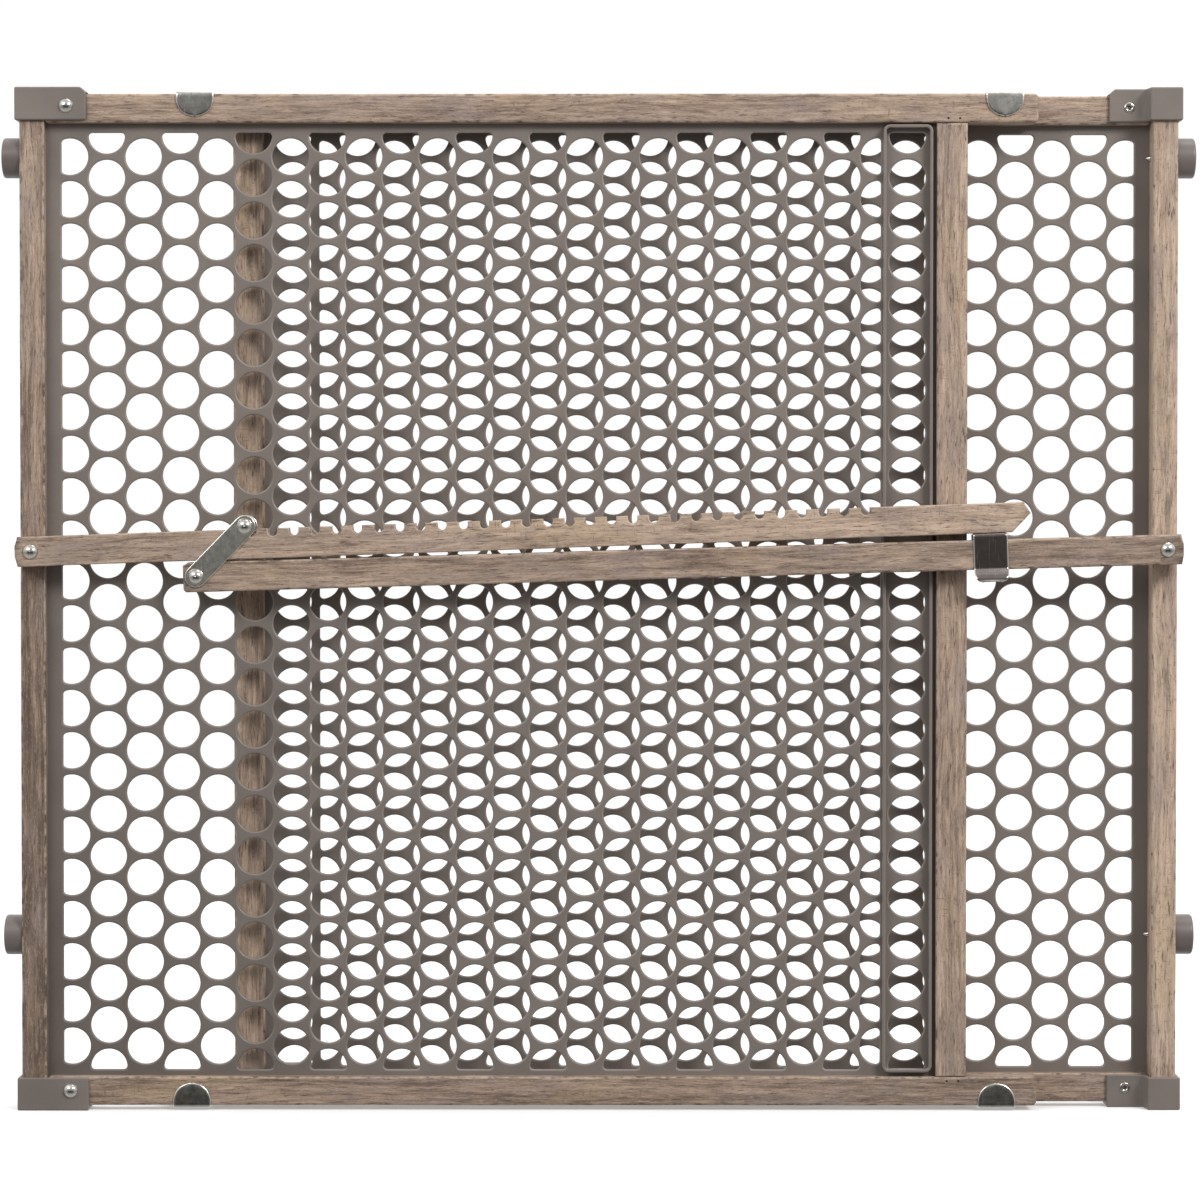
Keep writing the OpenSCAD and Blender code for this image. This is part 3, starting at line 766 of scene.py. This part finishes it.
def bent_strip(name, points, half_width, rub_and_sheen, thickness, r, place, curl, step=1.2 * MM):
    """Sheet metal bent along a path in y and z, its edges rolled over by curl, to the left if positive.

    half_width(s, length) is its half width at arc length s, and the fifth argument, for the same s and length, how
    strong a painted sheen is there.
    """
    path, spans = dense_path(points, r, step)
    insets = (0, 0.3 * MM, 0.65 * MM, 1.1 * MM)
    # Painted highlight along the rolled edges, strongest at the very edge.
    edge_sheen = [1.0, 0.6, 0.15, 0.0]
    vertices, wear_and_sheen = [], []
    for i, (p, s) in enumerate(zip(path, spans)):
        ahead = path[min(i + 1, len(path) - 1)] - path[max(i - 1, 0)]
        left = Vector((-ahead.y, ahead.x)).normalized()
        w = half_width(s, spans[-1])
        fit = min(1, w / (2 * insets[-1]))
        half_row = [(w - inset * fit, curl * (1 - inset / insets[-1]) ** 2) for inset in insets]
        section = [(-x, drop) for x, drop in half_row] + [(0, 0)] + half_row[::-1]
        for x, drop in section:
            at = p + left * drop
            vertices.append(place @ Vector((x, at.x, at.y)))
        # Painted sheen along the strip, joined with the painted edge highlight.
        lightening = rub_and_sheen(s, spans[-1])
        wear_and_sheen += [max(lightening, rim_mask) for rim_mask in edge_sheen + [0.0] + edge_sheen[::-1]]
    row = 2 * len(insets) + 1
    faces = [(j * row + i, j * row + i + 1, (j + 1) * row + i + 1, (j + 1) * row + i)
             for j in range(len(path) - 1) for i in range(row - 1)]
    mesh = bpy.data.meshes.new(name)
    mesh.from_pydata(vertices, [], faces)
    mesh.shade_smooth()
    mark(mesh, "wear_and_sheen", wear_and_sheen)
    piece = add_object(name, mesh)
    thicken(piece, thickness)
    return piece


def round_tip(s, radius):
    """Half width of a strip at a distance s from its half-round tip."""
    if s >= radius:
        return radius
    return max(0.6 * MM, math.sqrt(radius ** 2 - (radius - s) ** 2))


def guide(node, level, material):
    """Rail guide: a bent plate over both rails with a half-round tab on each side."""
    low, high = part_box(node)
    t = 1 * MM
    y0, y1 = low[1] + t / 2, high[1] - t / 2
    if level == "top":
        root, tip, curl = high[2] - t / 2, low[2], -0.25 * MM
    else:
        root, tip, curl = low[2] + t / 2, high[2], 0.25 * MM
    radius = (high[0] - low[0]) / 2
    place = Matrix.Translation(((low[0] + high[0]) / 2, 0, 0))

    def half_width(s, length):
        return round_tip(min(s, length - s), radius)

    # Painted highlight at both tips of the plate, fading over a millimetre.
    def rub_and_sheen(s, length):
        return max(0.0, 1 - min(s, length - s) / (1.0 * MM))

    path = [(y0, tip), (y0, root), (y1, root), (y1, tip)]
    piece = bent_strip(f"{node}_plate", path, half_width, rub_and_sheen, t, 1.5 * MM, place, curl)
    piece.data.materials.append(material)
    stand_for(piece, node)


def bar_clip():
    """Inverted U of spring steel under the notched bar, with a flared lip below its front leg."""
    t = 0.8 * MM
    low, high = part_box("bar_clip")
    back_y = high[1] - t / 2
    front_y = BAR_FRONT_Y - 0.4 * MM - t / 2
    under = -BAR_H / 2 - t / 2
    foot = -BAR_H / 2 - CLIP_LEG
    lip = [(front_y, foot)]
    for share, flare in ((0.35, 38), (0.40, 30), (0.25, 12)):
        y, z = lip[-1]
        length, lean = share * CLIP_LIP, math.radians(flare)
        lip.append((y - length * math.sin(lean), z - length * math.cos(lean)))
    corner = 4.5 * MM

    def half_width(s, length):
        left = length - s
        if left < corner:
            return CLIP_WIDTH / 2 - corner + math.sqrt(max(0, corner ** 2 - (corner - left) ** 2))
        return CLIP_WIDTH / 2

    # Painted highlight at the end of the lip, and a faint painted sheen over the middle of the lip.
    def rub_and_sheen(s, length):
        left = length - s
        if left < 0.9 * MM:
            return 1.0
        return 0.13 if 0.5 * CLIP_LIP < left < CLIP_LIP else 0.0

    place = on_bar("notched_bar_lift", NOTCHED_TILT) @ Matrix.Translation((CLIP_AT, 0, 0))
    piece = bent_strip("bar_clip_plate", [(back_y, foot), (back_y, under), (front_y, under)] + lip,
                       half_width, rub_and_sheen, t, 1.2 * MM, place, 0.38 * MM, step=0.8 * MM)
    piece.data.materials.append(SPRING_STEEL)
    stand_for(piece, "bar_clip")


def link_plate(node):
    """One of the link's two flat plates, in the paler painted-lit copy of the nickel plate, with a painted
    highlight on its rims.
    """
    low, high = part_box(node)
    r = LINK_WIDTH / 2
    outline = arc(LINK_LENGTH, 0, r, -90, 90, 16) + arc(0, 0, r, 90, 270, 16)
    holes = [circle(0, 0, LINK_RIVET_HOLE, 32), circle(LINK_LENGTH, 0, LINK_PIN_HOLE, 24)]
    piece = slab(f"{node}_steel", outline, holes, low[1], high[1], lambda x, z: 0.42 * MM,
                 on_bar("link_swing", LINK_SLOPE))
    piece.data.materials.append(LIT_NICKEL_COPY)
    stand_for(piece, node)


# Only the front top guide takes the paler, painted-lit copy of the nickel plate.
guide("front_top_guide", "top", LIT_NICKEL_COPY)
guide("front_bottom_guide", "bottom", NICKEL)
guide("rear_top_guide", "top", NICKEL)
guide("rear_bottom_guide", "bottom", NICKEL)
bar_clip()
link_plate("link_front_plate")
link_plate("link_rear_plate")


# ------------------------------------------------------------------ CAD pieces that keep their shape

def soften(node, width, material, segments=3):
    """Rounds the sharp edges of a CAD piece and gives it its material."""
    piece = frame["nodes"][node]
    weld = piece.modifiers.new("weld", "WELD")
    weld.merge_threshold = 0.002 * MM
    merge = piece.modifiers.new("faces", "DECIMATE")
    merge.decimate_type = "DISSOLVE"
    merge.angle_limit = math.radians(0.5)
    bevel = piece.modifiers.new("edges", "BEVEL")
    bevel.width = width
    bevel.segments = segments
    bevel.limit_method = "ANGLE"
    bevel.angle_limit = math.radians(40)
    bevel.harden_normals = False
    normals = piece.modifiers.new("normals", "WEIGHTED_NORMAL")
    normals.keep_sharp = True
    piece.data.materials.clear()
    piece.data.materials.append(material)


def turned(name, profile, x, z, place, steps=40):
    """A solid of revolution about a line along y through x, z. The profile lists radius and y."""
    solid = bmesh.new()
    turns = [2 * math.pi * k / steps for k in range(steps)]
    rings = []
    for r, y in profile:
        spots = [Vector((x + r * math.cos(turn), y, z + r * math.sin(turn))) for turn in turns]
        rings.append([solid.verts.new(place @ spot) for spot in spots])
    for low, high in zip(rings, rings[1:]):
        for k in range(steps):
            solid.faces.new((low[k - 1], low[k], high[k], high[k - 1]))
    bmesh.ops.remove_doubles(solid, verts=solid.verts, dist=0.001 * MM)
    bmesh.ops.recalc_face_normals(solid, faces=solid.faces)
    mesh = bpy.data.meshes.new(name)
    solid.to_mesh(mesh)
    solid.free()
    mesh.shade_smooth()
    mesh.set_sharp_from_angle(angle=math.radians(50))
    return add_object(name, mesh)


def cap_rivets(panel, place):
    """Two tubular rivets: a domed head in front, and at the back a rolled end with an open mouth."""
    low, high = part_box("front_cap_rivets")
    head_r, head_h, shank_r, mouth_r, rolled_r = 4.5 * MM, 2.6 * MM, 2 * MM, 1.3 * MM, 3.2 * MM
    ball_r = (head_r ** 2 + head_h ** 2) / (2 * head_h)
    lean = math.asin(head_r / ball_r)
    leans = [lean * k / 10 for k in range(11)]
    dome = [(ball_r * math.sin(a), low[1] + ball_r * (1 - math.cos(a))) for a in leans]
    head_y = low[1] + head_h
    curl = 0.5 * (rolled_r - mouth_r)
    rolled = [((rolled_r + mouth_r) / 2 + curl * math.cos(math.radians(a)),
               high[1] - 0.7 * MM * (1 - math.sin(math.radians(a)))) for a in range(0, 181, 15)]
    profile = dome + [(shank_r, head_y), (shank_r, high[1] - 0.8 * MM)] + rolled
    profile += [(mouth_r, high[1] - 3.5 * MM), (0, high[1] - 3.5 * MM)]
    spots = ((low[0] + head_r, high[2] - head_r), (high[0] - head_r, low[2] + head_r))
    rivets = [turned(f"{panel}_cap_rivets_{i}", profile, x, z, place) for i, (x, z) in enumerate(spots)]
    piece = join(rivets)
    piece.data.materials.append(POLISHED)
    stand_for(piece, f"{panel}_cap_rivets")


def moulded_cap(node):
    """The CAD cap with its long outer edges rounded, as a moulding's are."""
    piece = add_object(f"{node}_moulding", frame["nodes"][node].data.copy())
    piece.data.name = piece.name
    solid = bmesh.new()
    solid.from_mesh(piece.data)
    bmesh.ops.remove_doubles(solid, verts=solid.verts, dist=0.002 * MM)
    bmesh.ops.dissolve_limit(solid, angle_limit=math.radians(0.5), verts=solid.verts, edges=solid.edges)
    edges = [e for e in solid.edges if len(e.link_faces) == 2 and e.is_convex
             and e.calc_length() > 1.5 * MM and e.calc_face_angle() > math.radians(30)]
    bmesh.ops.bevel(solid, geom=edges, offset=1.0 * MM, segments=4, profile=0.5, affect="EDGES",
                    clamp_overlap=False, harden_normals=False)
    bmesh.ops.recalc_face_normals(solid, faces=solid.faces)
    solid.to_mesh(piece.data)
    solid.free()
    piece.data.shade_smooth()
    normals = piece.modifiers.new("normals", "WEIGHTED_NORMAL")
    normals.keep_sharp = True
    piece.data.materials.clear()
    piece.data.materials.append(PLASTIC)
    stand_for(piece, node)


for side in ("front", "rear"):
    for level in ("top", "bottom"):
        moulded_cap(f"{side}_{level}_cap")
        soften(f"{side}_{level}_bumper", 0.3 * MM, RUBBER)
    cap_rivets(side, HERE if side == "front" else HALF_TURN)
    soften(f"{side}_guide_nails", 0.1 * MM, POLISHED, 2)
    soften(f"{side}_bumper_screws", 0.1 * MM, NICKEL, 1)
    soften(f"{side}_frame_nails", 0.05 * MM, DARK_NAIL, 1)
for name in ("notched_bar_rivet", "locking_bar_rivet", "link_rivet", "link_pin"):
    soften(name, 0.15 * MM, POLISHED, 2)
for name in ("notched_bar_washer", "locking_bar_spacer", "bar_clip_nails"):
    soften(name, 0.15 * MM, NICKEL, 2)


# ------------------------------------------------------------------ studio

def studio_floor():
    """A pale seamless floor that the gate stands on."""
    size = 9.0
    mesh = bpy.data.meshes.new("studio_floor")
    corners = [(-size, -size, 0), (size, -size, 0), (size, size, 0), (-size, size, 0)]
    mesh.from_pydata(corners, [], [(0, 1, 2, 3)])
    floor = add_object("studio_floor", mesh)
    n = Nodes("pale_floor")
    mesh.materials.append(n.finish(Base_Color=rgb(0.80, 0.80, 0.80), Roughness=0.9,
                                   Emission_Color=rgb(1, 1, 1), Emission_Strength=0.25))
    floor.visible_diffuse = False
    floor.visible_glossy = False


def soft_light(name, place, target, size, power):
    """A rectangular lamp at a place, pointed at a target."""
    light = bpy.data.lights.new(name, "AREA")
    light.shape = "RECTANGLE"
    light.size, light.size_y = size
    light.energy = power
    lamp = add_object(name, light)
    lamp.location = place
    lamp.rotation_euler = (Vector(target) - Vector(place)).to_track_quat("-Z", "Y").to_euler()


# Brightness of the sky against one axis of the direction looked in: axis, from, to, and its two values
SKY = (("Z", -0.05, 0.75, 0.06, 0.60), ("Z", -0.14, 0.10, 0.0, 0.17), ("Z", -0.35, -0.85, 0.0, 0.45),
       ("Y", 0.15, 0.70, 0.0, 0.70), ("X", 0.45, 0.85, 0.0, 0.30), ("X", -0.45, -0.85, 0.0, 0.30))


def studio_sky():
    """White to the eye. As light it is bright above, below, behind and to the sides, dim in front."""
    world = bpy.data.worlds.new("studio")
    bpy.context.scene.world = world
    world.use_nodes = True
    tree = world.node_tree
    background = tree.nodes["Background"]
    background.inputs["Color"].default_value = rgb(1, 1, 1)
    seen = tree.nodes.new("ShaderNodeLightPath").outputs["Is Camera Ray"]
    split = tree.nodes.new("ShaderNodeSeparateXYZ")
    tree.links.new(tree.nodes.new("ShaderNodeTexCoord").outputs["Generated"], split.inputs[0])
    parts = []
    for axis, start, stop, low, high in SKY:
        span = tree.nodes.new("ShaderNodeMapRange")
        for key, value in (("From Min", start), ("From Max", stop), ("To Min", low), ("To Max", high)):
            span.inputs[key].default_value = value
        tree.links.new(split.outputs[axis], span.inputs["Value"])
        parts.append(span.outputs[0])
    total = parts[0]
    for part in parts[1:]:
        added = tree.nodes.new("ShaderNodeMath")
        added.operation = "ADD"
        tree.links.new(total, added.inputs[0])
        tree.links.new(part, added.inputs[1])
        total = added.outputs[0]
    mix = tree.nodes.new("ShaderNodeMix")
    tree.links.new(seen, mix.inputs[0])
    tree.links.new(total, mix.inputs[2])
    mix.inputs[3].default_value = 1.05
    tree.links.new(mix.outputs[0], background.inputs["Strength"])


def camera():
    """A long lens in front of the gate, slightly above its middle."""
    data = bpy.data.cameras.new("camera")
    data.sensor_width = 36
    data.lens = 117.6
    lens = add_object("camera", data)
    lens.location = (0.0114, -2.351, 0.359)
    lens.rotation_euler = (math.radians(90 - 1.295), 0, math.radians(0.264))
    bpy.context.scene.camera = lens


studio_floor()
studio_sky()
soft_light("key_right", (1.75, -1.95, 1.90), (0.05, 0, 0.30), (0.9, 0.8), 54)
soft_light("key_left", (-1.35, -1.60, 1.55), (-0.05, 0, 0.30), (1.2, 1.0), 15)
soft_light("top", (0.2, 0.3, 2.2), (0, 0, 0), (1.6, 0.8), 10)
camera()
bpy.context.scene.view_settings.view_transform = "Standard"
